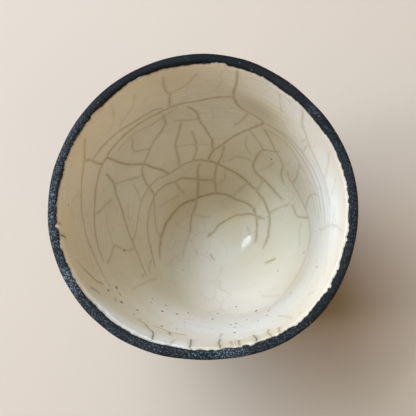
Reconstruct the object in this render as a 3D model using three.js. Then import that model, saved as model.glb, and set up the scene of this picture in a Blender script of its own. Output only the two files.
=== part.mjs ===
// A hand-thrown raku tumbler: a clay cup without a handle, open and empty, on a trimmed foot ring.
// Millimetres, +Z up. The cup stands on z = 0, with the origin under the middle of its foot.
import * as THREE from "three";

// Outside
const cupHeight = 92; // foot to the mean height of the lip
const rimDiameter = 88; // across the lip
const heelDiameter = 76; // where the wall leaves the round of the heel
const heelHeight = 17; // height of the heel's round
const bellyBulge = 0.9; // how far the wall stands out past a straight line, halfway up
const footDiameter = 54; // outside of the foot ring
const footHeight = 3.4; // depth of the recess that the ring goes round
const footRingWidth = 4.6; // across the ring that the cup stands on
const footChamfer = 0.7; // worn edges of the foot ring

// Clay
const lipThickness = 3; // wall just under the lip
const heelThickness = 4.7; // wall at the top of the heel's round
const floorThickness = 3.8; // clay over the recess in the foot
const lipRound = 1.35; // radius of the lip's two edges

// Inside of the floor
const floorDiameter = 43; // nearly flat floor, up to where it turns into the wall
const turnHeight = 12; // height of that turn
const floorSag = 0.5; // the floor is that much lower in the middle than at its edge
const dimpleDiameter = 16; // left by the thrower's finger in the middle
const dimpleDepth = 0.9;
const ridgeWidth = 4.4; // low ridge round the dimple
const ridgeHeight = 0.45;

// The thrower's hand: waves round the cup, fully there at the lip and gone at the heel.
const outlineWaves = [
  { waves: 2, reach: 0.76, peakDegrees: -35 },
  { waves: 3, reach: 0.46, peakDegrees: -31 },
  { waves: 4, reach: 0.1, peakDegrees: 42 },
  { waves: 5, reach: 0.15, peakDegrees: 20 },
  { waves: 6, reach: 0.13, peakDegrees: 10 },
];
const lipWaves = [
  { waves: 1, reach: 0.22, peakDegrees: 150 },
  { waves: 2, reach: 0.14, peakDegrees: 60 },
  { waves: 3, reach: 0.1, peakDegrees: 15 },
];

// Fineness
const sidesRound = 64;
const wallSteps = 10;
const cornerSteps = 7;
const edgeSteps = 3;
const dimpleSteps = 5;

const clayBlack = new THREE.MeshStandardMaterial({ color: 0x2a2b2c, roughness: 0.62, metalness: 0 });
clayBlack.name = "smoked_clay";

const at = (radius, height) => new THREE.Vector2(radius, height);

// Radius of the wall's outside at a height.
function outsideRadius(height) {
  const t = (height - heelHeight) / (cupHeight - heelHeight);
  const straight = THREE.MathUtils.lerp(heelDiameter / 2, rimDiameter / 2, t);
  return straight + bellyBulge * 4 * t * (1 - t);
}

function wallThickness(height) {
  const t = (height - heelHeight) / (cupHeight - heelHeight);
  return THREE.MathUtils.lerp(heelThickness, lipThickness, t);
}

const insideRadius = (height) => outsideRadius(height) - wallThickness(height);

// The point where a wall's tangent at one height comes down, or up, to another height.
function tangentPoint(radiusAt, height, target) {
  const step = 0.5;
  const lean = (radiusAt(height + step) - radiusAt(height)) / step;
  return at(radiusAt(height) + lean * (target - height), target);
}

// Points of a curve after its first one.
const pointsOf = (curve, steps) => curve.getPoints(steps).slice(1);

function wallPoints(radiusAt, from, to) {
  return Array.from({ length: wallSteps }, (_, i) => {
    const height = THREE.MathUtils.lerp(from, to, (i + 1) / wallSteps);
    return at(radiusAt(height), height);
  });
}

// Under the cup: the recess, the foot ring and the heel's round, up to the wall.
function undersidePoints() {
  const outer = footDiameter / 2;
  const inner = outer - footRingWidth;
  const foot = [
    at(0, footHeight),
    at(inner / 2, footHeight),
    at(inner - 2 * footChamfer, footHeight),
    at(inner - footChamfer, footChamfer),
    at(inner, 0),
    at(outer - footChamfer, 0),
    at(outer, footChamfer),
    at(outer, footHeight),
  ];
  const heel = new THREE.QuadraticBezierCurve(
    foot.at(-1),
    tangentPoint(outsideRadius, heelHeight, footHeight),
    at(outsideRadius(heelHeight), heelHeight),
  );
  return [...foot, ...pointsOf(heel, cornerSteps)];
}

// The lip, rounded from the outside over to the inside.
function lipPoints(under) {
  const edge = cupHeight - under;
  const outside = at(outsideRadius(under), under);
  const inside = at(insideRadius(under), under);
  const over = new THREE.QuadraticBezierCurve(
    outside,
    at(outside.x, cupHeight),
    at(outside.x - edge, cupHeight),
  );
  const down = new THREE.QuadraticBezierCurve(
    at(inside.x + edge, cupHeight),
    at(inside.x, cupHeight),
    inside,
  );
  return [...pointsOf(over, edgeSteps), ...down.getPoints(edgeSteps)];
}

// The floor inside, from its edge to the middle: a shallow dish with the thrower's dimple in it.
function floorPoints(floorEdge) {
  const dimpleEdge = dimpleDiameter / 2;
  const middle = floorEdge - floorSag;
  const ridgeFoot = dimpleEdge + ridgeWidth;
  const dimple = new THREE.CubicBezierCurve(
    at(dimpleEdge + ridgeWidth / 2, middle + ridgeHeight),
    at(dimpleEdge, middle + ridgeHeight),
    at(dimpleEdge / 2, middle - dimpleDepth),
    at(0, middle - dimpleDepth),
  );
  return [
    at((floorDiameter / 2 + ridgeFoot) / 2, floorEdge - 0.8 * floorSag),
    at(ridgeFoot, middle),
    ...dimple.getPoints(dimpleSteps),
  ];
}

// The whole outline of the clay, from the middle of the recess round to the middle of the floor.
function profilePoints() {
  const floorEdge = footHeight + floorThickness + floorSag;
  const turnTop = floorEdge + turnHeight;
  const under = cupHeight - Math.min(lipRound, 0.48 * lipThickness); // the lip's edges fit on its wall
  const turn = new THREE.QuadraticBezierCurve(
    at(insideRadius(turnTop), turnTop),
    tangentPoint(insideRadius, turnTop, floorEdge),
    at(floorDiameter / 2, floorEdge),
  );
  return [
    ...undersidePoints(),
    ...wallPoints(outsideRadius, heelHeight, under),
    ...lipPoints(under),
    ...wallPoints(insideRadius, under, turnTop),
    ...pointsOf(turn, cornerSteps),
    ...floorPoints(floorEdge),
  ];
}

function waveAt(waves, angle) {
  return waves.reduce((sum, wave) => {
    const turn = angle - THREE.MathUtils.degToRad(wave.peakDegrees);
    return sum + wave.reach * Math.cos(wave.waves * turn);
  }, 0);
}

// Moves a turned form's points out and up by the waves, growing from the heel to the lip.
function throwByHand(geometry) {
  const position = geometry.getAttribute("position");
  const point = new THREE.Vector3();
  for (let i = 0; i < position.count; i++) {
    point.fromBufferAttribute(position, i);
    const radius = Math.hypot(point.x, point.y);
    const angle = Math.atan2(point.y, point.x);
    const grown = THREE.MathUtils.smoothstep(point.z, heelHeight, cupHeight);
    const out = radius > 0 ? 1 + (grown * waveAt(outlineWaves, angle)) / radius : 1;
    const up = grown * grown * waveAt(lipWaves, angle);
    position.setXYZ(i, point.x * out, point.y * out, point.z + up);
  }
  geometry.computeVertexNormals();
  return geometry;
}

function tumbler() {
  const turned = new THREE.LatheGeometry(profilePoints(), sidesRound);
  turned.rotateX(Math.PI / 2);
  const mesh = new THREE.Mesh(throwByHand(turned), clayBlack);
  mesh.name = "tumbler";
  return mesh;
}

const part = new THREE.Group();
part.add(tumbler());
export default part;
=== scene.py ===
# A hand-thrown raku tumbler: smoked black clay outside and over the lip, crackle glaze inside.
# Lengths are in millimetres until a mesh, light or camera is made; then they go to metres.
import math

import bpy
import numpy as np
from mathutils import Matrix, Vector


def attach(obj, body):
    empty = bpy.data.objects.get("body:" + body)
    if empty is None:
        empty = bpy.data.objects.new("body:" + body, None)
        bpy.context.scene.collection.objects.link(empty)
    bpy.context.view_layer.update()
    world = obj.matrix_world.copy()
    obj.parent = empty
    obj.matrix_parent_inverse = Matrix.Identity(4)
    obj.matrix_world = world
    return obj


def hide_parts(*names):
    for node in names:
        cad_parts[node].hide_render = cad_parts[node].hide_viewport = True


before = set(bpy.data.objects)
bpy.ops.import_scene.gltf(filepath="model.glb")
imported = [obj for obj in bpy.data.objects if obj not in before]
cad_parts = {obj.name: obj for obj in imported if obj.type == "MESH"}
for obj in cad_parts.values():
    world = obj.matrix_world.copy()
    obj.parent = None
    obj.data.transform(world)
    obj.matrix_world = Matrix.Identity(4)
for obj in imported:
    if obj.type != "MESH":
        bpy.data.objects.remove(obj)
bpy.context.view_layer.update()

mm = 0.001

# The clay form, the same sizes as the solid it dresses
cup = {
    "height": 92.0,
    "rim": 88.0,  # diameters
    "heel": 76.0,
    "foot": 54.0,
    "floor": 43.0,
    "heelHeight": 17.0,
    "belly": 0.9,
    "footHeight": 3.4,
    "footRing": 4.6,
    "footChamfer": 0.7,
    "lipThickness": 3.0,
    "heelThickness": 4.7,
    "floorThickness": 3.8,
    "lipRound": 1.35,
    "turnHeight": 12.0,
    "floorSag": 0.5,
    "dimple": 16.0,
    "dimpleDepth": 0.9,
    # waves round the cup: how many, reach, where the first peak is in degrees
    "outlineWaves": [(2, 0.76, -35), (3, 0.46, -31), (4, 0.1, 42), (5, 0.15, 20), (6, 0.13, 10)],
    "lipWaves": [(1, 0.22, 150), (2, 0.14, 60), (3, 0.1, 15)],
}


# Radius of the outside at height h: a straight lean from heel to rim, plus a parabola for the belly.
def outsideRadius(h):
    t = (h - cup["heelHeight"]) / (cup["height"] - cup["heelHeight"])
    return (cup["heel"] + (cup["rim"] - cup["heel"]) * t) / 2 + cup["belly"] * 4 * t * (1 - t)


# The same less the wall, which thins evenly from heel to lip.
def insideRadius(h):
    t = (h - cup["heelHeight"]) / (cup["height"] - cup["heelHeight"])
    return outsideRadius(h) - cup["heelThickness"] - (cup["lipThickness"] - cup["heelThickness"]) * t


# A smooth step: 0 below low, 1 above high, 3t^2 - 2t^3 between.
def ease(low, high, x):
    t = np.clip((np.asarray(x, float) - low) / (high - low), 0, 1)
    return t * t * (3 - 2 * t)


# A quadratic arc through a and c that leans towards b: (1-t)^2 a + 2t(1-t) b + t^2 c.
def arcPoints(a, b, c, count=40):
    t = np.linspace(0, 1, count)[:, None]
    return (1 - t) ** 2 * np.array(a) + 2 * t * (1 - t) * np.array(b) + t**2 * np.array(c)


# Where the tangent of a wall at height h meets the height of target.
def tangentPoint(radiusAt, h, target):
    lean = (radiusAt(h + 0.5) - radiusAt(h)) / 0.5
    return [radiusAt(h) + lean * (target - h), target]


# Evenly spaced points along a polyline of radius and height, no further apart than spacing.
def spaced(points, spacing):
    points = np.asarray(points, float)
    along = np.concatenate([[0], np.cumsum(np.hypot(*np.diff(points, axis=0).T))])
    even = np.linspace(0, along[-1], max(2, math.ceil(along[-1] / spacing) + 1))
    return np.stack([np.interp(even, along, points[:, i]) for i in (0, 1)], 1)


# Adds up cosines round the cup, one for each wave.
def waveSum(waves, angle):
    return sum(reach * np.cos(n * (angle - math.radians(peak))) for n, reach, peak in waves)


# Turns radius and height round by angle; the thrower's waves grow from heel to lip.
def thrown(radius, height, angle):
    grown = ease(cup["heelHeight"], cup["height"], height)
    r = radius + grown * waveSum(cup["outlineWaves"], angle) * (radius > 0)
    z = height + grown**2 * waveSum(cup["lipWaves"], angle)
    return np.stack([r * np.cos(angle), r * np.sin(angle), z], -1)


floorEdge = cup["footHeight"] + cup["floorThickness"] + cup["floorSag"]
turnTop = floorEdge + cup["turnHeight"]
underLip = cup["height"] - cup["lipRound"]
lipInner = insideRadius(underLip) + cup["lipRound"]  # where the lip starts to round inwards


# The inside from the top of the lip to the middle of the floor, without dimple: lip arc, wall, turn, dish.
def insidePath():
    rim = insideRadius(underLip)
    lip = arcPoints([lipInner, cup["height"]], [rim, cup["height"]], [rim, underLip])
    h = np.linspace(underLip, turnTop, 200)
    wall = np.stack([insideRadius(h), h], 1)
    half = cup["floor"] / 2
    corner = tangentPoint(insideRadius, turnTop, floorEdge)
    turn = arcPoints([insideRadius(turnTop), turnTop], corner, [half, floorEdge], 80)
    r = np.linspace(half, 0, 60)
    dish = np.stack([r, floorEdge - cup["floorSag"] * (1 - (r / half) ** 2)], 1)
    return np.concatenate([lip[:-1], wall[:-1], turn[:-1], dish])


insideLine = insidePath()
insideDepth = np.concatenate([[0], np.cumsum(np.hypot(*np.diff(insideLine, axis=0).T))])
deepest = insideDepth[-1]  # from the lip down the wall and across to the middle of the floor


# A place inside the cup: degrees round it as angle, and mm down from the lip along the clay.
def insidePlace(angle, depth):
    radius = np.interp(depth, insideDepth, insideLine[:, 0])
    height = np.interp(depth, insideDepth, insideLine[:, 1])
    return thrown(radius, height, angle)


# Normals of a grid of points that closes round its columns: the cross product of its two tangents.
def gridNormals(points):
    around = np.roll(points, -1, 1) - np.roll(points, 1, 1)
    along = np.gradient(points, axis=0)
    normal = np.cross(along, around)
    return normal / np.maximum(np.linalg.norm(normal, axis=-1, keepdims=True), 1e-9)


# A closed mesh from rings of points: quads between rings, and a fan to a point at each end.
def ringMesh(name, rings, firstPole, lastPole, marks):
    rows, columns = rings.shape[:2]
    points = np.concatenate([rings.reshape(-1, 3), [firstPole, lastPole]]) * mm
    i = np.arange(rows * columns).reshape(rows, columns)
    right = np.roll(i, -1, 1)
    quads = np.stack([i[:-1], right[:-1], right[1:], i[1:]], -1).reshape(-1, 4)
    first = np.stack([np.full(columns, rows * columns), right[0], i[0]], -1)
    last = np.stack([np.full(columns, rows * columns + 1), i[-1], right[-1]], -1)
    mesh = bpy.data.meshes.new(name)
    mesh.from_pydata(points.tolist(), [], quads.tolist() + first.tolist() + last.tolist())
    mesh.shade_smooth()
    for mark, values in marks.items():
        layer = mesh.attributes.new(mark, "FLOAT", "POINT")
        ends = [values[0].mean(), values[-1].mean()]
        layer.data.foreach_set("value", np.concatenate([values.ravel(), ends]).astype(np.float32))
    mesh.validate()
    piece = bpy.data.objects.new(name, mesh)
    bpy.context.scene.collection.objects.link(piece)
    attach(piece, "root")
    return piece


# Shader helpers
def newMaterial(name):
    material = bpy.data.materials.new(name)
    material.use_nodes = True
    return material, material.node_tree, material.node_tree.nodes["Principled BSDF"]


# Adds a node with its settings and its inputs, which are values or other nodes' outputs.
def addNode(tree, kind, settings=None, **inputs):
    node = tree.nodes.new("ShaderNode" + kind)
    for key, value in (settings or {}).items():
        setattr(node, key, value)
    for key, value in inputs.items():
        socket = node.inputs[int(key[1:]) if key[1:].isdigit() else key]
        if isinstance(value, bpy.types.NodeSocket):
            tree.links.new(value, socket)
        else:
            socket.default_value = value
    return node


def mathNode(tree, operation, a, b=0.0, clamp=False):
    return addNode(tree, "Math", {"operation": operation, "use_clamp": clamp}, i0=a, i1=b).outputs[0]


def times(tree, a, b, clamp=False):
    return mathNode(tree, "MULTIPLY", a, b, clamp)


def plus(tree, a, b, clamp=False):
    return mathNode(tree, "ADD", a, b, clamp)


def minus(tree, a, b):
    return mathNode(tree, "SUBTRACT", a, b)


# 1 where the value is under low, 0 over high, smooth between.
def fadeOut(tree, value, low, high):
    settings = {"interpolation_type": "SMOOTHSTEP"}
    node = addNode(tree, "MapRange", settings, i0=value, i1=low, i2=high, i3=1.0, i4=0.0)
    return node.outputs[0]


# Stretches the middle of a noise's range to lie between low and high.
def spread(tree, noise, low, high):
    return addNode(tree, "MapRange", None, i0=noise, i1=0.3, i2=0.7, i3=low, i4=high).outputs[0]


def noiseNode(tree, place, perMm, detail=2.0, rough=0.5, warp=0.0):
    node = addNode(tree, "TexNoise", Vector=place, Scale=perMm / mm, Detail=detail)
    node.inputs["Roughness"].default_value = rough
    node.inputs["Distortion"].default_value = warp
    return node.outputs[0]


def mixColour(tree, factor, a, b, blend="MIX"):
    node = addNode(tree, "Mix", {"data_type": "RGBA", "blend_type": blend})
    for key, value in ((0, factor), (6, a), (7, b)):
        if isinstance(value, bpy.types.NodeSocket):
            tree.links.new(value, node.inputs[key])
        else:
            node.inputs[key].default_value = value if key == 0 else (*value, 1.0)
    return node.outputs[2]


def readMark(tree, name):
    return addNode(tree, "Attribute", {"attribute_name": name}).outputs["Fac"]


# Crack lines in the glaze. Each has a strength and its points: degrees round the cup, and mm down
# from the lip along the wall and floor.
cracks = {
    "lowerRing": (1.0, [(79, 23.5), (84, 25), (91, 26.5), (98, 28), (106, 26.8), (116, 27.2),
                        (127, 26.3), (140, 24.4), (155, 23.5), (161, 24.5), (172, 27), (180, 27.7),
                        (192, 28.3), (202, 29.7)]),
    "upperRing": (0.9, [(115, 24.8), (118, 23.8), (124, 23.6), (130, 22.8), (134, 21.5), (140, 19.8),
                        (146, 18.3), (155, 16.5)]),
    "faintRing": (0.45, [(108, 29.5), (116, 31), (123, 31.8), (129, 30), (134, 29), (146, 27.8)]),
    "leftRing": (0.8, [(149.5, 5.5), (154, 9), (158, 12), (167, 15), (178, 18), (190, 21), (202, 23.8),
                       (213, 24.5)]),
    "ringLink": (0.8, [(157.5, 12), (155.5, 15.5), (155.8, 20), (154.5, 23.5)]),
    "topFall": (1.0, [(74, 3), (75.5, 12), (78, 19), (78.7, 24), (77.5, 31.5), (72, 34), (63, 37.3)]),
    "topFallFork": (0.6, [(72.5, 34), (74, 38), (76, 42), (79, 46), (82, 48.5)]),
    "rightRing": (0.75, [(63, 37.3), (58, 38), (48, 36.5), (34, 38.5), (18, 42), (10, 44.5), (0, 47.5)]),
    "rightRingLow": (0.6, [(63, 37.5), (52, 39.5), (45, 40.5), (36, 43.5), (25, 47), (15, 50), (8, 53)]),
    "rightRingLast": (0.45, [(63, 43.5), (55, 43.5), (47, 44.5), (40, 49), (34, 54)]),
    "rightHigh": (0.6, [(41.5, 3), (41, 12), (39.5, 17), (34, 25), (28, 29), (22, 31.5), (5, 35)]),
    "rightHighFork": (0.4, [(35, 25), (36.5, 30), (36.8, 36)]),
    "rightHighSpur": (0.4, [(36.8, 22), (38.5, 26), (39.5, 30)]),
    "rightLineA": (0.4, [(34, 27), (20, 30), (5, 33)]),
    "rightLineB": (0.35, [(30, 33), (20, 35.5), (4, 38.5)]),
    "rightLineC": (0.4, [(34, 52), (20, 55), (4, 58.5)]),
    "rightLineD": (0.35, [(30, 57.5), (20, 61), (6, 64)]),
    "rightLineE": (0.3, [(9, 84), (0, 85.5), (-9, 84.5)]),
    "rightDropA": (0.35, [(22, 8), (20.5, 14), (19, 22), (18.3, 31)]),
    "rightDropB": (0.3, [(12.5, 14), (10.5, 20), (9, 27)]),
    "rightPatchA": (0.5, [(2, 25.5), (-1, 27.5), (-3.5, 25)]),
    "rightPatchB": (0.45, [(0.5, 29), (-2.5, 32), (-6, 30)]),
    "rightPatchC": (0.3, [(2, 36), (-2, 38), (-3, 43), (-1, 48)]),
    "rightFall": (0.35, [(54.5, 5), (54, 12), (53, 19)]),
    "slant": (1.0, [(63.5, 37.5), (65.5, 41), (69, 45), (73, 49.5), (81, 57), (88.5, 64), (96, 70),
                    (101, 73), (106, 79)]),
    "slantFork": (0.7, [(72.7, 49.5), (71.5, 52.5), (70, 55.5), (68, 58.5), (66, 62), (65, 65.5)]),
    "rightLoop": (0.9, [(63.5, 44), (61.5, 48), (59.5, 52), (58, 55.5), (56.5, 59), (55.5, 60.5)]),
    "loopTop": (0.9, [(53.5, 58), (55.5, 60.5), (58.5, 62.5), (65, 66), (68.5, 72), (70.5, 78.5),
                      (71.5, 80.5), (71, 84), (66, 86), (60, 86.5), (52, 87.5), (44, 88), (34, 88)]),
    "loopLeft": (0.75, [(55.5, 60.5), (53, 63.5), (51, 67), (48.7, 72), (49.3, 77), (47.5, 80), (43, 82.5)]),
    "loopInside": (0.4, [(56.5, 73), (58, 77), (60.5, 80.5), (65, 83.5)]),
    "farRight": (0.6, [(17, 51), (19, 55), (20.5, 59), (21.3, 66), (21, 71), (19.5, 75), (18.5, 78)]),
    "nearRight": (0.6, [(37.3, 51), (37.3, 57), (36.5, 65), (37, 71), (37.7, 77), (35, 78.5)]),
    "turnRing": (0.6, [(-14, 79), (0, 77.8), (8, 78), (26, 78.8), (38, 77.5), (43, 76), (45.5, 71)]),
    "turnFork": (0.7, [(11, 78), (12, 81), (14, 84), (16.5, 85.5), (26, 85)]),
    "floorFork": (0.5, [(27, 86.5), (28.5, 88.5), (30, 91), (30.5, 94.5)]),
    "outerSpiral": (1.0, [(-20, 99.6), (0, 98.6), (10, 97.8), (28, 96), (48, 93.8), (62, 92.3),
                          (77, 89.6), (90, 86), (95, 84.8), (100, 82.3), (109, 78.3), (113, 76),
                          (122, 73.6), (135, 72.6)]),
    "innerSpiral": (1.0, [(-15, 103.6), (0, 103.3), (15, 102.8), (35, 101.2), (45, 99.6), (60, 98.7),
                          (80, 99), (92, 97.3), (108, 95), (122, 93.7), (134, 92.5), (145, 89.5),
                          (160, 87.5), (174, 85.3), (190, 83.2), (199, 82)]),
    "dimpleArc": (0.9, [(27, 98.5), (37, 100.7), (47, 101.5), (58, 103.8), (72, 105), (88, 106.3),
                        (108, 107.6), (130, 107.4), (152, 107.2), (167, 106.8), (175, 105.5), (183, 104.4)]),
    "spiralCross": (0.8, [(91.5, 69), (93, 73), (94.5, 78), (100, 82.3), (103, 85.5), (106, 88.5),
                          (109, 94.5)]),
    "lipFallA": (0.7, [(106.5, 6), (109, 14.5), (107.5, 18), (109, 21), (111, 26.8)]),
    "lipFallB": (0.45, [(92.5, 8), (96, 12.5), (100, 15.5), (107, 18)]),
    "lipFallC": (0.35, [(121, 8), (123, 12.5), (127, 15.5), (136, 18.3)]),
    "lipFallD": (0.25, [(131.5, 5), (133, 10), (136, 14), (141, 16)]),
    "greatFall": (1.0, [(151, 23.7), (150, 27), (149.5, 32), (147, 41), (142, 48.5), (140.5, 52),
                        (139.5, 57), (136, 66), (135, 72.6)]),
    "midFall": (0.9, [(102.8, 30), (99.5, 36.5), (100.5, 42), (98.7, 52), (98.5, 58), (97.5, 61),
                      (99.5, 69), (100.5, 72.5)]),
    "midFallFork": (0.6, [(100.5, 42), (105, 41), (109, 39.3), (112, 37.3)]),
    "innerFall": (0.75, [(110.5, 41), (112, 44.5), (118, 52.5), (120.5, 56.5), (122, 63), (126, 72.8)]),
    "ringFall": (0.8, [(116, 30), (116.5, 35), (119, 38.5), (127, 42.5), (132, 44.6), (135, 47.5),
                       (142, 50)]),
    "smallZig": (0.55, [(135.5, 30.5), (138, 34), (140, 36.5), (138, 40), (133, 45)]),
    "lowFall": (0.7, [(107, 50), (107.3, 56), (108.3, 61), (109.5, 66), (112, 70), (116, 75)]),
    "lowLink": (0.5, [(108.5, 62.5), (113, 60), (117, 58), (121, 57)]),
    "greatFork": (0.85, [(142, 49.5), (146, 53), (148, 57), (150, 62), (150.8, 67), (153, 73.3)]),
    "leftLink": (0.55, [(160, 37.5), (157, 42), (154, 46), (151, 50), (148.5, 53.5)]),
    "leftSlant": (1.0, [(157.5, 29), (158, 32), (160, 37.5), (164, 41), (170, 49), (179, 55), (184, 58),
                        (193, 62.5), (199, 64), (211, 64.2)]),
    "midRing": (0.7, [(135, 72.6), (139, 70), (142, 67), (146, 65.5), (158, 63.8), (170, 64.8),
                      (178, 64.8), (183, 63.5), (188, 60.5)]),
    "lowRing": (0.95, [(107.3, 88.9), (114, 88.2), (119.5, 86.3), (126.6, 83.5), (130, 80.9), (135, 80),
                       (140, 77.3), (150, 73.3), (165, 73.8), (178, 75.6), (192, 77.9), (204, 77.4)]),
    "fallToSpiral": (0.85, [(113, 79.5), (116, 81.5), (119, 85), (123, 88.5), (131, 92.5)]),
    "spiralFork": (0.6, [(135, 79), (137, 82), (138, 87.5)]),
    "leftMid": (0.45, [(154.5, 51.5), (156, 56), (158.5, 60), (161.5, 63.8)]),
    "leftLow": (0.55, [(155, 74), (160, 77), (168, 80), (180, 82.5)]),
    "leftLowLink": (0.35, [(142, 86), (147, 84.5), (153, 82.5), (158, 80.5)]),
    "underSpiral": (0.75, [(134, 92.7), (139, 94.5), (147, 95), (165, 96.3), (176, 96.6)]),
    "underSpiralLow": (0.35, [(172, 96.5), (182, 96.2), (192, 94.3), (204, 92)]),
    "spiralLink": (0.5, [(89.5, 98), (82.5, 95.7), (77, 93.2), (71.5, 90.3)]),
    "loopLink": (0.6, [(62, 86.2), (58.5, 89.3), (61.5, 92.2)]),
    "midLink": (0.45, [(96, 81), (91.5, 81.8), (87, 80), (83.7, 78.6), (78, 78.8), (71.5, 81)]),
    "slantDrop": (0.4, [(75, 57), (76.6, 63.5), (76.8, 70), (74, 75)]),
    "slantRing": (0.35, [(98.5, 60.3), (94, 61.3), (89, 62)]),
    "lowRingTop": (0.35, [(107, 63.3), (103, 65), (99, 66.2)]),
    "floorMarkA": (0.9, [(322, 95.6), (327, 94.5), (332, 93.4)]),
    "floorMarkB": (0.6, [(222, 102.6), (229, 102.2), (236, 101.8)]),
    "shortA": (0.35, [(103, 91), (95, 90), (96, 87)]),
    "shortB": (0.35, [(166, 53), (168, 54.5), (175, 56.5)]),
    "shortC": (0.35, [(0, 106.5), (25, 106.3)]),
    "shortD": (0.5, [(209, 64.5), (210, 60), (212.5, 57.5)]),
    "shortE": (0.35, [(323.5, 22), (321, 30)]),
    "shortF": (0.35, [(342, 54), (336, 49), (325, 46)]),
    "leftFall": (0.6, [(203, 32), (201, 35), (198, 38.5), (194, 41), (192, 44), (194.5, 51), (194, 56),
                       (192.5, 61)]),
    "leftFallFork": (0.35, [(177, 36.5), (183, 38.5), (188, 41), (193, 41.5)]),
    "leftSpur": (0.6, [(178.5, 29), (175, 33), (171.5, 35.5), (168, 39.5)]),
    "lowLeftHook": (0.6, [(199.5, 76), (202, 73), (205, 70.3), (209, 68.3)]),
    "longLeft": (0.35, [(218.5, 43), (217, 50), (215.5, 57), (214, 65), (214, 73)]),
    "pinRow": (0.5, [(203.5, 8.5), (206, 10)]),
    "rustDash": (1.25, [(216.3, 8), (217.8, 10), (219.3, 11.6)]),
    "rustLine": (1.1, [(206, 10), (209.3, 13), (212.5, 15.5), (214.5, 19.5)]),
    "floorLinkA": (0.3, [(108, 88.5), (115, 87.5), (119, 85.5)]),
    "floorLinkB": (0.3, [(134, 102), (142, 101.5), (147, 99), (150, 96)]),
    "floorLinkC": (0.3, [(52, 93.4), (50, 96), (51, 99)]),
    # from the lip down at the near side, where over 1 is thin and dark
    "leftNick": (1.5, [(192.3, 1.6), (192.4, 3.4), (193.2, 5)]),
    "leftNickHigh": (1.3, [(188, 1.8), (187.6, 3)]),
    "nearLipA": (1.4, [(252.3, 2.4), (251, 6.5), (250, 10), (248, 14), (245.3, 15.8)]),
    "nearLipTail": (1.05, [(245.8, 15.6), (243, 18), (240.5, 21), (238, 20)]),
    "nearArc": (1.05, [(245, 23.3), (247.5, 24.3), (250, 24.2), (252, 23.7), (255, 24.6), (257.5, 25.2),
                       (259.5, 26)]),
    "nearLipB": (1.35, [(252, 23.7), (253, 21.5), (254.4, 18.5)]),
    "nearLipC": (0.7, [(260, 2), (259.3, 8), (258.5, 12)]),
    "nearLipD": (1.45, [(268, 1.6), (267, 7), (265.5, 13), (264, 18)]),
    "nearLipE": (1.4, [(280, 1.6), (278.7, 6.5), (277.4, 12), (276.8, 17), (276.3, 21.5)]),
    "nearLipTailE": (0.6, [(276.5, 20), (275.5, 25), (274.5, 36)]),
    "nearLipF": (1.3, [(287.3, 1.6), (286.5, 7), (285.7, 14)]),
    "nearLipG": (1.5, [(294, 1.5), (293.4, 8), (292.3, 14.5), (291.2, 20)]),
    "nearLipH": (1.15, [(299.5, 1.5), (298.5, 9), (297.8, 14), (298, 21)]),
    "nearLipI": (1.15, [(303, 1.5), (303.1, 9.5), (302.5, 14)]),
    "nearLipJ": (0.8, [(284.5, 2.5), (283, 9), (282, 15)]),
    "nearLipK": (0.5, [(313, 8), (313.2, 15)]),
    "nearLong": (0.5, [(309, 15), (308, 24), (306, 33), (303.5, 42)]),
    "nearRightRing": (0.5, [(298, 66), (302, 70), (308, 76), (315, 78.6), (330, 79.4), (346, 79)]),
    "nearFloor": (0.3, [(298, 85.5), (304, 83), (310, 80)]),
    "nearFarRight": (0.4, [(349, 8), (352, 16), (355, 26), (357, 38), (357, 50), (359, 60)]),
    "nearRightSlant": (0.3, [(331, 20), (335, 27), (341, 34), (350, 38), (358, 41)]),
}

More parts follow.
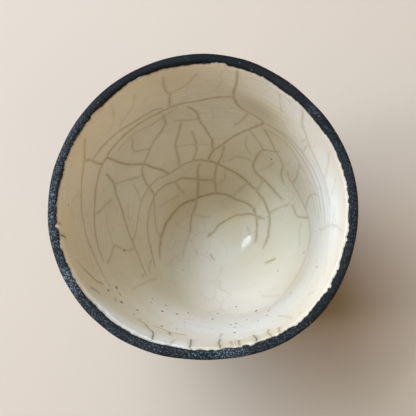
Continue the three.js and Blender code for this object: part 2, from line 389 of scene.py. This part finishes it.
# Pinholes: degrees round, mm down, diameter in mm, and how many times longer they are down the wall.
pinholes = [
    (216.8, 29.2, 1.25, 1.1), (218, 20.7, 1.0, 1.3), (223.5, 20.8, 0.8, 1.0), (225.5, 22.8, 0.95, 1.5),
    (231.8, 29.5, 0.95, 1.5), (234, 22.3, 0.75, 1.4), (237.5, 22.5, 0.7, 1.3), (243, 20.5, 0.8, 1.2),
    (241, 24.5, 0.7, 1.3), (246.5, 28, 0.8, 2.2), (234.3, 36.5, 0.6, 1.7), (237.3, 48, 0.9, 2.3),
    (234.3, 58.5, 0.8, 1.4), (243.2, 56.3, 1.0, 2.0), (246.5, 65.5, 0.8, 1.9), (227.2, 52.5, 0.7, 1.9),
    (229.5, 48, 0.6, 1.4), (218.5, 34.5, 0.5, 1.8), (220.7, 27.5, 0.6, 1.5), (193.3, 16.5, 0.55, 1.0),
    (191.8, 13.5, 0.5, 1.0), (178.5, 8.7, 0.6, 1.4), (207.5, 21.5, 0.5, 1.3), (188.5, 28.2, 0.7, 1.0),
    (191, 28.5, 0.7, 0.9), (194.5, 51, 0.9, 1.7), (58.5, 71.5, 0.85, 1.7), (138, 33.8, 0.6, 1.2),
    (252.3, 33.3, 0.6, 2.2), (281, 35.5, 0.8, 3.0), (251.5, 47.5, 0.6, 1.8), (266.5, 47.5, 0.5, 2.2),
    (279, 49.5, 0.9, 1.4), (292, 52, 1.0, 1.4), (299, 49.5, 0.6, 2.0), (297.5, 56, 0.9, 2.0),
    (275.5, 57.5, 0.9, 1.8), (278.5, 59, 0.9, 2.0), (284.5, 63.5, 0.8, 1.8), (298.7, 65, 0.9, 2.2),
    (262, 68.5, 0.9, 1.9), (290, 77.5, 1.1, 1.6), (316.5, 68, 0.6, 3.0), (262.5, 78.8, 0.9, 1.1),
    (275.3, 84, 0.9, 0.8), (270, 83.8, 0.7, 0.6), (346, 81.5, 0.9, 0.8), (336, 46.5, 0.9, 2.0),
    (218, 22.3, 0.6, 1.3), (215, 24.4, 0.8, 1.2), (216.3, 25.4, 0.6, 1.0), (215.2, 27, 0.5, 1.2),
    (216, 30.5, 0.6, 1.2), (218.3, 28, 0.55, 1.0), (220, 28.6, 0.7, 1.4), (221.3, 27.8, 0.75, 1.5),
    (224, 18.8, 0.55, 1.1), (224.3, 20.2, 0.6, 1.2), (222.5, 21.7, 0.5, 1.2), (225.3, 24.2, 0.75, 1.4),
    (275.5, 81, 0.6, 0.7), (282.5, 91, 0.6, 0.4), (253.5, 42, 0.5, 2.0), (326, 36, 0.5, 2.2),
    (354, 22, 0.7, 1.6), (354.5, 27, 0.8, 1.5), (179, 104.3, 0.7, 0.35), (225, 87.3, 0.5, 0.5),
]

# Where the glaze is whiter (more than 0) or browner (less than 0) than most of it: degrees round, mm
# down, how wide in mm, and how much. From 228 to 262 degrees just under the lip the whiter is painted light,
# where the roll of glaze catches the window; at 64 degrees the browner is painted shade beside a shadow's
# edge.
tintsAndPaintedLight = [
    (0, 42, 42, 0.5), (5, 26, 15, 0.5), (46, 6, 11, 0.45), (266, 66, 26, 0.7), (246, 46, 20, 0.45),
    (270, 28, 20, 0.3), (296, 38, 16, 0.25), (211, 100, 13, 0.5), (153, 107, 9, 0.2), (325, 40, 22, -0.4),
    (228, 5, 6, 0.6), (239, 4, 7, 1.0), (250, 4, 7, 1.0), (262, 5, 7, 0.8), (189, 1, 1.3, 1.0),
    (64, 27, 9, -0.85), (58, 44, 9, -0.4), (74, 100, 8, -0.6), (16, 42, 9, 0.3), (8, 70, 12, 0.3),
    (36, 68, 10, -0.2), (325, 74, 9, -0.2), (210, 38, 14, -0.3), (212, 62, 14, -0.25),
    (139, 75, 12, -0.25), (110, 100, 8, -0.2),
]

# The glaze's top edge: degrees round the cup, and mm down from the lip. At 189 degrees a white fleck
# of it climbs onto the lip.
glazeLine = [
    (0, 1.25), (20, 1.3), (30, 1.9), (45, 2.0), (60, 1.7), (75, 1.7), (83, 1.5), (90, 2.2), (98, 2.7),
    (106, 2.2), (116, 1.6), (124, 1.8), (132, 2.4), (140, 2.0), (150, 1.7), (158, 1.6), (166, 2.0),
    (176, 2.0), (186, 1.6), (188, 1.7), (188.6, 0.45), (189.3, 0.45), (189.9, 1.8), (192.3, 2.1),
    (196, 1.6), (208, 1.7), (216, 1.8), (223, 2.1), (230, 2.9), (238, 2.4), (246, 2.1), (252, 1.9),
    (258, 1.7), (270, 1.3), (290, 1.2), (310, 1.0), (330, 1.0), (350, 1.15),
]

glaze = {
    "columns": 560,
    "topRows": [0, 0.1, 0.25, 0.45, 0.7, 1.0, 1.4, 1.9],  # mm under its top edge
    "evenFrom": 2.7,  # mm under it, where the even rows start
    "rowStep": 0.8,
    "middleGap": 0.6,  # mm from the middle of the floor, where the rows end
    "thickness": 0.18,
    "laidIn": 0.04,  # its front starts that much under the clay's surface
    "rollThickness": 0.3,  # of the roll of glaze at its top edge
    "rollExtra": 0.3,  # and how much thicker it is on the near side
    "rollSide": 238,  # degrees round, where it is thickest
    "rollSpread": 45,  # degrees to each side of that
    "rollTop": 2.3,  # mm down from the edge to where the roll is thickest
    "rollEnd": 20.0,  # and to where it has run out
    "sunk": 0.3,  # its back face under the clay's surface
    "raggedness": 0.24,
    "bites": 70,  # small notches in its top edge
    "ringPitch": 4.2,  # of the thrower's fingers
    "ringDepth": 0.05,
    "unevenness": 0.03,
    "grooves": 2.3,  # mm between faint rings
    "pitDepth": 0.16,
    "pitSize": 0.53,  # a pinhole's radius as a share of its listed size
    "crackWobble": 0.1,
    "strayPits": 46,  # small ones, scattered over the near side
    "seed": 11,
    "roughness": (0.4, 0.5),
    "pool": (8.0, 12.0),  # mm from the middle of the floor, where the gloss of the pool fades
    "poolGloss": 0.42,  # how much less rough the pool is
    "poolRoughness": 0.05,  # and the least it can be
    # colours
    "cream": (0.755, 0.65, 0.475),
    "paleCream": (0.80, 0.71, 0.555),
    "stained": (0.70, 0.61, 0.47),
    "whiterAndPaintedLight": (0.90, 0.88, 0.84),
    "brownerAndPaintedShade": (0.58, 0.48, 0.32),
    "grooveDark": (0.36, 0.285, 0.17),
    "hairSmoke": (0.36, 0.29, 0.19),
    "crackSmoke": (0.395, 0.285, 0.115),
    "crackSoot": (0.10, 0.075, 0.055),  # of the thin dark cracks
    "pit": (0.15, 0.12, 0.08),
    "thinEdge": (0.42, 0.34, 0.26),
}

# The dimple that the thrower's finger left in the middle of the floor, in mm. A pair is a size, and
# how much is added to it on the steep side.
dimple = {
    "crest": 2.2,  # from the edge of the solid's dimple out to the crest
    "oval": 0.5,  # how far the crest's ring is off the middle
    "ovalTurn": 2.0,  # and towards where, in radians
    "steepSide": -35,  # degrees round, where the well's side is steepest
    "steepPower": 3,  # how quickly that comes and goes round the well
    "rise": (0.27, 0.187),  # from the bottom of the well to the crest
    "high": (0.14, 0.12),  # from the plain floor to the crest
    "bottom": 0.44,  # radius of the well's bottom as a share of the crest's
    "fall": 7.0,  # from the crest outwards to the plain floor
}
farAway = 3.0  # mm: a mark that is further off doesn't show


# Smooth noise round and down the cup: cosines with random turns and whole numbers of waves round.
def handNoise(angle, depth, roundWaves, depthLength, count, seed):
    dice = np.random.default_rng(seed)
    total = np.zeros(np.broadcast(angle, depth).shape)
    for _ in range(count):
        n = dice.integers(0, roundWaves + 1)
        slope = dice.uniform(-1, 1) * 2 * math.pi / depthLength
        total += np.cos(n * angle + slope * depth + dice.uniform(0, 2 * math.pi))
    return total / math.sqrt(count / 2)


# Depth of the glaze's top edge at an angle: the list joined up round the cup, plus fine ragged waves
# and bell-shaped bites.
def glazeEdge(angle):
    degrees = [p[0] for p in glazeLine]
    depths = [p[1] for p in glazeLine]
    line = np.interp(np.degrees(angle) % 360, degrees, depths, period=360)
    dice = np.random.default_rng(glaze["seed"])
    ragged = np.zeros_like(line)
    for n in (19, 31, 44, 61, 83, 107, 139, 163, 181, 199, 223, 251):  # waves round
        ragged += np.cos(n * angle + dice.uniform(0, 2 * math.pi)) * (30 / (n + 20)) ** 0.5
    for _ in range(glaze["bites"]):
        apart = (angle - dice.uniform(0, 2 * math.pi) + math.pi) % (2 * math.pi) - math.pi
        line = line + dice.uniform(0.1, 0.4) * np.exp(-((apart / dice.uniform(0.008, 0.02)) ** 2))
    return line + glaze["raggedness"] * ragged / 1.6


# A crack's points made smooth (corner cutting three times) and a little crooked.
def crackTrack(points, seed):
    p = np.array(points, float)
    for _ in range(3):
        ends = p[:1], p[-1:]
        p = np.stack([0.75 * p[:-1] + 0.25 * p[1:], 0.25 * p[:-1] + 0.75 * p[1:]], 1).reshape(-1, 2)
        p = np.concatenate([ends[0], p, ends[1]])
    dice = np.random.default_rng(seed)
    crooked = dice.normal(size=p.shape) * glaze["crackWobble"]
    crooked = (crooked + np.roll(crooked, 1, 0) + np.roll(crooked, -1, 0)) / 3
    radius = np.interp(p[:, 1], insideDepth, insideLine[:, 0])
    p[:, 0] += np.degrees(crooked[:, 0] / np.maximum(radius, 5))
    p[:, 1] += crooked[:, 1]
    return insidePlace(np.radians(p[:, 0]), p[:, 1])


# For every point: the distance to the nearest crack with a sign for its side, and the crack's strength
# there. Each crack is a chain of straight bits; the side comes from bit x (point - start) . normal.
def crackMarks(points, normals):
    flat = points.reshape(-1, 3)
    up = normals.reshape(-1, 3)
    side = np.full(len(flat), farAway)
    near = np.full(len(flat), farAway)
    tone = np.zeros(len(flat))
    for seed, (strength, path) in enumerate(cracks.values()):
        track = crackTrack(path, seed)
        within = ((flat > track.min(0) - farAway) & (flat < track.max(0) + farAway)).all(1)
        index = np.nonzero(within)[0]
        start, bit = track[:-1], np.diff(track, axis=0)
        length = (bit**2).sum(1)
        for part in np.array_split(index, max(1, len(index) // 4000)):  # a few at a time, to save memory
            away = flat[part, None] - start[None]
            t = np.clip((away * bit).sum(-1) / length, 0, 1)
            gap = away - t[..., None] * bit
            distance = np.linalg.norm(gap, axis=-1)
            best = distance.argmin(1)
            row = np.arange(len(part))
            d = distance[row, best]
            cross = np.cross(bit[best], away[row, best])
            sign = np.where((cross * up[part]).sum(1) < 0, -1.0, 1.0)
            along = (best + t[row, best]) / len(bit)
            taper = ease(0, 0.08, along) * ease(0, 0.08, 1 - along)
            closer = d < near[part]
            side[part[closer]] = (d * sign)[closer]
            near[part[closer]] = d[closer]
            tone[part[closer]] = strength * (0.45 + 0.55 * taper[closer])
    shape = points.shape[:2]
    return side.reshape(shape), near.reshape(shape), tone.reshape(shape)


# For every point: the distance to the nearest pinhole's edge, less than 0 inside it.
def pinMarks(angle, depth):
    dice = np.random.default_rng(glaze["seed"] + 1)
    spots = list(pinholes)
    for _ in range(glaze["strayPits"]):
        spots.append((dice.uniform(200, 330), dice.uniform(12, 96), dice.uniform(0.25, 0.5), 1.3))
    near = np.full(np.broadcast(angle, depth).shape, 2.0)
    for degrees, down, size, stretch in spots:
        radius = float(np.interp(down, insideDepth, insideLine[:, 0]))
        across = (angle - math.radians(degrees) + math.pi) % (2 * math.pi) - math.pi
        distance = np.hypot(across * radius, (depth - down) / stretch) - glaze["pitSize"] * size
        near = np.minimum(near, distance)
    return near


# The sum of the tints and painted light at each point: bells of the straight distance to each one's middle.
def tintAndPaintedLightMarks(points):
    total = np.zeros(points.shape[:2])
    for degrees, down, width, strength in tintsAndPaintedLight:
        away = np.linalg.norm(points - insidePlace(np.radians(degrees), down), axis=-1)
        total += strength * np.exp(-((away / width) ** 2))
    return np.clip(total, -1, 1)


# The thrower's marks inside, as a height over the plain form: finger rings that wind down the wall,
# and on the floor the dimple, a smooth step up to a crest that isn't quite round, then down again.
# One side of its well is steeper: a power of a cosine that is 1 there and 0 on the far side.
def fingerMarks(angle, depth):
    radius = np.interp(depth, insideDepth, insideLine[:, 0])
    wall = ease(6, 16, depth) * (1 - ease(96, 104, depth))
    turns = depth / glaze["ringPitch"] + angle / (2 * math.pi)
    uneven = 0.6 + 0.4 * handNoise(angle, depth, roundWaves=3, depthLength=30, count=9, seed=5)
    rings = glaze["ringDepth"] * wall * uneven * np.cos(2 * math.pi * turns)
    crest = cup["dimple"] / 2 + dimple["crest"] + dimple["oval"] * np.cos(angle - dimple["ovalTurn"])
    turned = angle - math.radians(dimple["steepSide"])
    steep = (0.5 + 0.5 * np.cos(turned)) ** dimple["steepPower"]
    rise, high = (least + more * steep for least, more in (dimple["rise"], dimple["high"]))
    well = high - rise * (1 - ease(dimple["bottom"] * crest, crest, radius))
    slope = high * (1 - ease(crest, crest + dimple["fall"], radius))
    small = handNoise(angle, depth, roundWaves=9, depthLength=12, count=24, seed=6)
    return rings + np.where(radius < crest, well, slope) + glaze["unevenness"] * small * ease(1, 9, radius)


def glazeMaterial():
    material, tree, shader = newMaterial("crackle_glaze")
    place = addNode(tree, "TexCoord").outputs["Object"]
    depth = readMark(tree, "depth")
    cloud = noiseNode(tree, place, 0.035, 3.0)
    patch = noiseNode(tree, place, 0.16, 4.0, 0.6)
    cream = mixColour(tree, fadeOut(tree, cloud, 0.35, 0.65), glaze["cream"], glaze["paleCream"])
    stain = times(tree, fadeOut(tree, patch, 0.3, 0.62), 0.35)
    cream = mixColour(tree, stain, cream, glaze["stained"])

    # whiter and browner patches from the tints list: painted light under the near lip, painted shade beside
    # a shadow's edge, and elsewhere just lighter or darker glaze
    tintAndPaintedLight = readMark(tree, "tintAndPaintedLight")
    cream = mixColour(tree, times(tree, tintAndPaintedLight, 1.0, True), cream, glaze["whiterAndPaintedLight"])
    cream = mixColour(tree, times(tree, tintAndPaintedLight, -1.0, True), cream, glaze["brownerAndPaintedShade"])

    # faint darker rings: lines at whole turns wound down the wall, coming and going
    across = addNode(tree, "SeparateXYZ", None, i0=place)
    turn = mathNode(tree, "ARCTAN2", across.outputs[1], across.outputs[0])
    turn = times(tree, turn, 1 / (2 * math.pi))
    swing = times(tree, noiseNode(tree, place, 0.045, 3.0), 2.4)
    wound = plus(tree, times(tree, depth, 1 / glaze["grooves"]), turn)
    wound = mathNode(tree, "FRACT", plus(tree, wound, swing))
    groove = fadeOut(tree, mathNode(tree, "ABSOLUTE", minus(tree, wound, 0.5)), 0.02, 0.16)
    comes = fadeOut(tree, noiseNode(tree, place, 0.07, 4.0), 0.4, 0.56)
    onWall = times(tree, fadeOut(tree, depth, 60.0, 78.0), 0.13)
    groove = times(tree, times(tree, groove, comes), onWall)
    cream = mixColour(tree, groove, cream, glaze["grooveDark"])

    # faint small crackle: edges of bent cells, which come and go
    bend = addNode(tree, "TexNoise", Vector=place, Scale=0.12 / mm, Detail=2.0).outputs[1]
    bent = addNode(tree, "MixRGB", {"blend_type": "ADD"}, i0=0.0035, i1=place, i2=bend).outputs[0]
    cells = addNode(tree, "TexVoronoi", {"feature": "DISTANCE_TO_EDGE"}, Vector=bent, Scale=0.13 / mm)
    hair = fadeOut(tree, cells.outputs[0], 0.0, 0.04)
    comes = fadeOut(tree, noiseNode(tree, place, 0.06, 2.0), 0.4, 0.55)
    hair = times(tree, times(tree, hair, comes), 0.17)

    # the crack lines, darker where strong and thinner over 1, and the smoke that crept in beside them
    near = readMark(tree, "crackNear")
    tone = readMark(tree, "crackTone")
    thinner = mathNode(tree, "MAXIMUM", minus(tree, times(tree, tone, 2.0), 1.0), 1.0)
    side = times(tree, mathNode(tree, "ABSOLUTE", readMark(tree, "crackSide")), thinner)
    uneven = spread(tree, noiseNode(tree, place, 0.5, 3.0), 0.6, 1.0)
    line = times(tree, fadeOut(tree, side, 0.0, 0.78), fadeOut(tree, near, 0.85, 1.05))
    strong = times(tree, tone, 0.64, True)
    line = times(tree, times(tree, line, strong), uneven)
    halo = times(tree, fadeOut(tree, near, 0.0, 1.9), times(tree, strong, 0.22))
    crackle = plus(tree, line, halo, True)
    soot = times(tree, minus(tree, tone, 1.02), 2.2, True)
    smoke = mixColour(tree, soot, glaze["crackSmoke"], glaze["crackSoot"])
    colour = mixColour(tree, hair, cream, glaze["hairSmoke"])
    colour = mixColour(tree, crackle, colour, smoke)

    pit = fadeOut(tree, readMark(tree, "pinNear"), -0.2, 0.16)
    colour = mixColour(tree, times(tree, pit, 0.9), colour, glaze["pit"])
    thin = times(tree, fadeOut(tree, readMark(tree, "fromEdge"), 0.05, 0.75), 0.75)
    colour = mixColour(tree, thin, colour, glaze["thinEdge"])
    tree.links.new(colour, shader.inputs["Base Color"])

    # satin on the wall, and glossier where it pooled in the middle of the floor
    rough = spread(tree, patch, *glaze["roughness"])
    pool = fadeOut(tree, minus(tree, deepest, depth), *glaze["pool"])
    rough = minus(tree, rough, times(tree, pool, glaze["poolGloss"]))
    rough = mathNode(tree, "MAXIMUM", rough, glaze["poolRoughness"])
    rough = plus(tree, rough, times(tree, pit, 0.4), True)
    tree.links.new(rough, shader.inputs["Roughness"])
    skin = minus(tree, noiseNode(tree, place, 0.9, 2.0), times(tree, line, 1.2))
    bump = addNode(tree, "Bump", None, Height=skin, Distance=0.02 * mm, Strength=0.25)
    tree.links.new(bump.outputs[0], shader.inputs["Normal"])
    shader.inputs["IOR"].default_value = 1.5
    shader.inputs["Specular IOR Level"].default_value = 0.2
    return material


# The glaze coat: a thin closed skin on the clay, from its ragged top edge down to the middle of the
# floor, feathered at the edge, with a back face sunk in the clay.
def makeGlaze():
    angle = np.arange(glaze["columns"]) / glaze["columns"] * 2 * math.pi
    edge = glazeEdge(angle)
    down = deepest - glaze["middleGap"]
    rows = math.ceil((down - glaze["evenFrom"]) / glaze["rowStep"])
    even = np.linspace(glaze["evenFrom"], down - edge.min(), rows)
    below = np.concatenate([glaze["topRows"], even])[:, None]
    follow = 1 - ease(0, 12, below)  # rows near the top keep to the ragged edge
    depth = below + edge.min() + (edge - edge.min())[None] * follow
    around = np.broadcast_to(angle, depth.shape)
    base = insidePlace(around, depth)
    normal = -gridNormals(base)
    inset = depth - edge[None]
    rise = np.sin(np.clip(inset / glaze["rollTop"], 0, 1) * math.pi / 2)
    run = 1 - ease(glaze["rollTop"], glaze["rollEnd"], inset)
    apart = (np.degrees(angle) - glaze["rollSide"] + 180) % 360 - 180
    nearby = np.exp(-((apart / glaze["rollSpread"]) ** 2))
    roll = glaze["rollThickness"] + glaze["rollExtra"] * nearby - glaze["thickness"]
    coat = rise * (glaze["thickness"] + roll * run)
    pins = pinMarks(around, depth)
    lift = coat - glaze["laidIn"] + fingerMarks(around, depth)
    lift -= glaze["pitDepth"] * (1 - ease(-0.25, 0.12, pins))
    front = base + normal * lift[..., None]
    side, near, tone = crackMarks(base, normal)

    # the back needs few rows on the wall and more where it turns into the floor
    backDepth = np.concatenate([np.linspace(0, 62, 6), np.linspace(65, 94, 14),
                                np.linspace(98, deepest - 0.8, 6)])[:, None]
    backDepth = backDepth + edge[None] * (1 - ease(0, 30, backDepth))
    backAround = np.broadcast_to(angle, backDepth.shape)
    backBase = insidePlace(backAround, backDepth)
    sunk = glaze["sunk"] - np.minimum(fingerMarks(backAround, backDepth), 0)
    back = backBase + gridNormals(backBase) * sunk[..., None]

    rings = np.concatenate([back[::-1], front])
    blank = np.full(back.shape[:2], farAway)
    marks = {
        "crackSide": np.concatenate([blank, side]),
        "crackNear": np.concatenate([blank, near]),
        "crackTone": np.concatenate([blank * 0, tone]),
        "pinNear": np.concatenate([blank, pins]),
        "depth": np.concatenate([blank * 0, depth]),
        "fromEdge": np.concatenate([blank, inset]),
        "tintAndPaintedLight": np.concatenate([blank * 0, tintAndPaintedLightMarks(base)]),
    }
    piece = ringMesh("crackle_glaze", rings, back[-1].mean(0), front[-1].mean(0), marks)
    piece.data.materials.append(glazeMaterial())
    return piece


clay = {
    "columns": 400,
    "wallStep": 0.8,
    "lipStep": 0.2,
    "footStep": 0.45,
    "recessStep": 1.5,
    "unevenness": 0.03,
    "ridgePitch": 5.2,  # the fingers' ridges outside
    "ridgeDepth": 0.16,
    "ridgesStart": (16, 30),  # heights between which they come
    "ridgesEnd": (78, 89),  # and go again
    "trimPitch": 1.15,  # fine grooves from trimming the foot
    "trimDepth": 0.05,
    "trimEnd": (20, 28),
    # paler scuffs and painted sheen on the lip, lighter and bluer where it catches the window: degrees
    # round, how wide, how strong
    "scuffsAndSheen": [(160, 22, 0.5), (184, 20, 0.75), (211, 8, 1.0), (228, 20, 0.35), (250, 15, 0.3),
               (272, 12, 0.4), (283, 7, 0.9), (300, 20, 0.25), (0, 42, 0.2), (38, 4, 0.3)],
    "scuffsAndSheenStart": (84, 91),
    "scuffAndSheenBelow": 0.1,  # how strong the scuffs and painted sheen are on the rest of the cup
    "roughness": (0.55, 0.75),
    # colours
    "black": (0.0115, 0.0115, 0.012),
    "coolBlack": (0.006, 0.0075, 0.0085),
    "rubbedAndSheen": (0.024, 0.028, 0.034),
    "worn": (0.2, 0.235, 0.26),
    "dust": (0.2, 0.21, 0.21),
}


# The clay's outline: under the foot, up the outside and over the lip, then down inside under the
# glaze. With it, the depth inside of each row (less than 0 outside), and where each stretch ends.
def clayPath():
    outer = cup["foot"] / 2
    inner = outer - cup["footRing"]
    chamfer = cup["footChamfer"]
    recess = [[0.6, cup["footHeight"]], [inner - 2 * chamfer, cup["footHeight"]]]
    ring = [recess[-1], [inner - chamfer, chamfer], [inner, 0], [outer - chamfer, 0], [outer, chamfer],
            [outer, cup["footHeight"]]]
    corner = tangentPoint(outsideRadius, cup["heelHeight"], cup["footHeight"])
    heel = arcPoints(ring[-1], corner, [outsideRadius(cup["heelHeight"]), cup["heelHeight"]])
    h = np.linspace(cup["heelHeight"], underLip, 100)
    wall = np.stack([outsideRadius(h), h], 1)
    top, side = cup["height"], outsideRadius(underLip)
    over = arcPoints([side, underLip], [side, top], [side - cup["lipRound"], top])
    over = np.concatenate([over, [[lipInner, top]]])
    stretches = [(recess, clay["recessStep"]), (ring, clay["footStep"]), (heel, clay["wallStep"]),
                 (wall, clay["wallStep"]), (over, clay["lipStep"])]
    rows = [spaced(points, step)[:-1] for points, step in stretches]
    ends = np.cumsum([len(r) for r in rows])
    depth = np.concatenate([np.arange(0, 4.4, clay["lipStep"]), np.linspace(5, 62, 16),
                            np.linspace(64, 95, 22), np.linspace(98, deepest - 0.6, 8)])
    inside = np.stack([np.interp(depth, insideDepth, insideLine[:, i]) for i in (0, 1)], 1)
    return np.concatenate(rows + [inside]), np.concatenate([np.full(ends[-1], -9.0), depth]), ends


def clayMaterial():
    material, tree, shader = newMaterial("smoked_clay")
    place = addNode(tree, "TexCoord").outputs["Object"]
    cloud = noiseNode(tree, place, 0.05, 4.0, 0.6)
    grain = noiseNode(tree, place, 2.3, 3.0, 0.65)
    scuffAndSheen = readMark(tree, "scuffAndSheen")
    black = mixColour(tree, fadeOut(tree, cloud, 0.35, 0.68), clay["black"], clay["coolBlack"])
    # painted sheen: the lip's black goes lighter and bluer under the scuff and sheen mark, partly real
    # rubbing
    black = mixColour(tree, times(tree, scuffAndSheen, 0.75, True), black, clay["rubbedAndSheen"])

    # painted glints: pale blue-grey grains where the lip is worn and catches the window
    worn = times(tree, fadeOut(tree, grain, 0.39, 0.49), scuffAndSheen, True)
    colour = mixColour(tree, worn, black, clay["worn"])
    dust = addNode(tree, "TexVoronoi", None, Vector=place, Scale=0.9 / mm).outputs[0]
    some = fadeOut(tree, noiseNode(tree, place, 0.35, 2.0), 0.38, 0.5)
    specks = times(tree, fadeOut(tree, dust, 0.1, 0.2), some)
    colour = mixColour(tree, specks, colour, clay["dust"])
    tree.links.new(colour, shader.inputs["Base Color"])

    tree.links.new(spread(tree, grain, *clay["roughness"]), shader.inputs["Roughness"])
    height = plus(tree, grain, times(tree, cloud, 0.6))
    bump = addNode(tree, "Bump", None, Height=height, Distance=0.12 * mm, Strength=0.8)
    tree.links.new(bump.outputs[0], shader.inputs["Normal"])
    shader.inputs["Specular IOR Level"].default_value = 0.1
    return material


# The clay body: its outline turned round, with finger ridges that wind up the outside (a cosine of
# height and angle), trimming grooves at the heel and foot, and a slightly uneven lip.
def makeClay():
    path, depth, ends = clayPath()
    angle = np.arange(clay["columns"]) / clay["columns"] * 2 * math.pi
    radius = np.repeat(path[:, :1], len(angle), 1)
    height = np.repeat(path[:, 1:], len(angle), 1)
    around = np.broadcast_to(angle, radius.shape)
    base = thrown(radius, height, around)
    normal = -gridNormals(base)
    row = np.arange(len(path))[:, None]
    under = row < ends[2]
    outside = (row >= ends[1]) & (row < ends[3])
    turns = height / clay["ridgePitch"] + around / (2 * math.pi)
    uneven = 0.55 + 0.45 * handNoise(around, height, roundWaves=4, depthLength=26, count=9, seed=21)
    fade = ease(*clay["ridgesStart"], height) * (1 - ease(*clay["ridgesEnd"], height)) * outside
    lift = clay["ridgeDepth"] * fade * (uneven * np.cos(2 * math.pi * turns) - 1)
    trim = (1 - ease(*clay["trimEnd"], height)) * (outside | under) * ease(0.4, 1.2, height)
    lift = lift + clay["trimDepth"] * trim * np.cos(2 * math.pi * (radius + height) / clay["trimPitch"])
    along = height + np.maximum(depth, 0)[:, None]
    rough = handNoise(around, along, roundWaves=24, depthLength=14, count=40, seed=22)
    lift = lift + clay["unevenness"] * (rough - 2) * ease(1, 4, height)
    # under the glaze it lies deeper, and deeper still under the dimple
    covered = ease(glazeEdge(angle) - 0.1, glazeEdge(angle) + 0.7, depth[:, None])
    well = 1.6 * cup["dimpleDepth"] * (1 - ease(0, cup["dimple"], radius)) * (depth[:, None] > 90)
    lift = lift - (0.2 + 0.3 * ease(5, 12, depth[:, None]) + well) * covered
    points = base + normal * lift[..., None]
    degrees = np.degrees(angle)
    # the scuff and sheen mark: real rubbing on the lip, and painted sheen where the lip catches the window
    scuffAndSheen = np.zeros(len(angle))
    for centre, width, strength in clay["scuffsAndSheen"]:
        apart = (degrees - centre + 180) % 360 - 180
        scuffAndSheen = np.maximum(scuffAndSheen, strength * np.exp(-((apart / width) ** 2)))
    onLip = ease(*clay["scuffsAndSheenStart"], height)
    marks = {"scuffAndSheen": scuffAndSheen[None] * onLip + clay["scuffAndSheenBelow"] * (1 - onLip)}
    piece = ringMesh("smoked_clay", points, points[0].mean(0), points[-1].mean(0), marks)
    piece.data.materials.append(clayMaterial())
    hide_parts("tumbler")
    return piece


# Lights that look at the cup: the degrees round that their light travels to, the degrees they stand
# over the floor, width and height in metres, watts, and colour. Watts and colours began as a fit to the
# photo's tones, rounded. Most of the watts, and all of the glint, were then changed.
lights = {
    "window": (-36.0, 56.0, 1.4, 1.0, 18.0, (0.36, 0.71, 1.0)),
    "glint": (-36.0, 67.0, 0.4, 0.035, 1.7, (0.85, 0.93, 1.0)),
    "leftSky": (-5.0, 42.0, 0.8, 0.4, 3.4, (0.71, 0.66, 1.0)),
    "leftLow": (8.0, 24.0, 0.2, 0.3, 3.1, (1.0, 1.0, 1.0)),
    "topSky": (-60.0, 55.0, 0.7, 0.3, 5.7, (0.92, 0.83, 1.0)),
    "room": (-36.0, 50.0, 3.2, 2.4, 11.8, (1.0, 0.6, 0.0)),
    "bounce": (144.0, 12.0, 1.2, 0.6, 5.4, (1.0, 0.76, 0.52)),
}
studio = {
    "away": 1.2,  # metres from the cup to each light
    "room": (1.0, 0.87, 0.74),
    "roomPower": 0.08,
    "floorHalf": 1.5,  # metres
    "floorColour": (0.59, 0.475, 0.368),
    "floorRoughness": 0.75,
}


# The floor, plain and pale
def makeFloor():
    half = studio["floorHalf"]
    corners = [(-half, -half, 0), (half, -half, 0), (half, half, 0), (-half, half, 0)]
    mesh = bpy.data.meshes.new("floor")
    mesh.from_pydata(corners, [], [(0, 1, 2, 3)])
    piece = bpy.data.objects.new("floor", mesh)
    bpy.context.scene.collection.objects.link(piece)
    material, tree, shader = newMaterial("pale_floor")
    shader.inputs["Base Color"].default_value = (*studio["floorColour"], 1)
    shader.inputs["Roughness"].default_value = studio["floorRoughness"]
    piece.data.materials.append(material)


# A rectangle of light that faces the cup's middle.
def makeWindow(name, turn, up, wide, tall, power, colour):
    lamp = bpy.data.lights.new(name, "AREA")
    lamp.shape = "RECTANGLE"
    lamp.size = wide
    lamp.size_y = tall
    lamp.energy = power
    lamp.color = colour
    piece = bpy.data.objects.new(name, lamp)
    turn, up = math.radians(turn), math.radians(up)
    back = Vector((-math.cos(turn) * math.cos(up), -math.sin(turn) * math.cos(up), math.sin(up)))
    piece.location = back * studio["away"] + Vector((0, 0, cup["height"] / 2 * mm))
    piece.rotation_euler = back.to_track_quat("Z", "Y").to_euler()
    bpy.context.scene.collection.objects.link(piece)


def makeLight():
    for name, settings in lights.items():
        makeWindow(name, *settings)
    world = bpy.data.worlds.new("room")
    world.use_nodes = True
    sky = world.node_tree.nodes["Background"]
    sky.inputs[0].default_value = (*studio["room"], 1)
    sky.inputs[1].default_value = studio["roomPower"]
    bpy.context.scene.world = world


# The photograph's view, fitted to the edges of the lip: from above, leaning a little. The frame's
# width is the sensor's.
camera = {
    "place": (28.0, -27.2, 252.0),
    "lean": (-0.1545, 0.1595),  # how far the view goes right and up for each unit down
    "focal": 51.09,
    "sensor": 36.0,
}


def makeCamera():
    data = bpy.data.cameras.new("camera")
    data.lens = camera["focal"]
    data.sensor_width = camera["sensor"]
    data.clip_start = 0.01
    piece = bpy.data.objects.new("camera", data)
    piece.location = Vector(camera["place"]) * mm
    back = -Vector((*camera["lean"], -1.0)).normalized()
    piece.rotation_mode = "QUATERNION"
    piece.rotation_quaternion = Vector((0, 0, 1)).rotation_difference(back)
    bpy.context.scene.collection.objects.link(piece)
    bpy.context.scene.camera = piece


makeCamera()
makeLight()
makeFloor()
print("stage: camera, lights and floor")
body = makeClay()
print("clay:", len(body.data.polygons), "faces")
coat = makeGlaze()
print("glaze:", len(coat.data.polygons), "faces,", len(cracks), "cracks,", len(pinholes), "pinholes")
bpy.context.scene.view_settings.view_transform = "Standard"
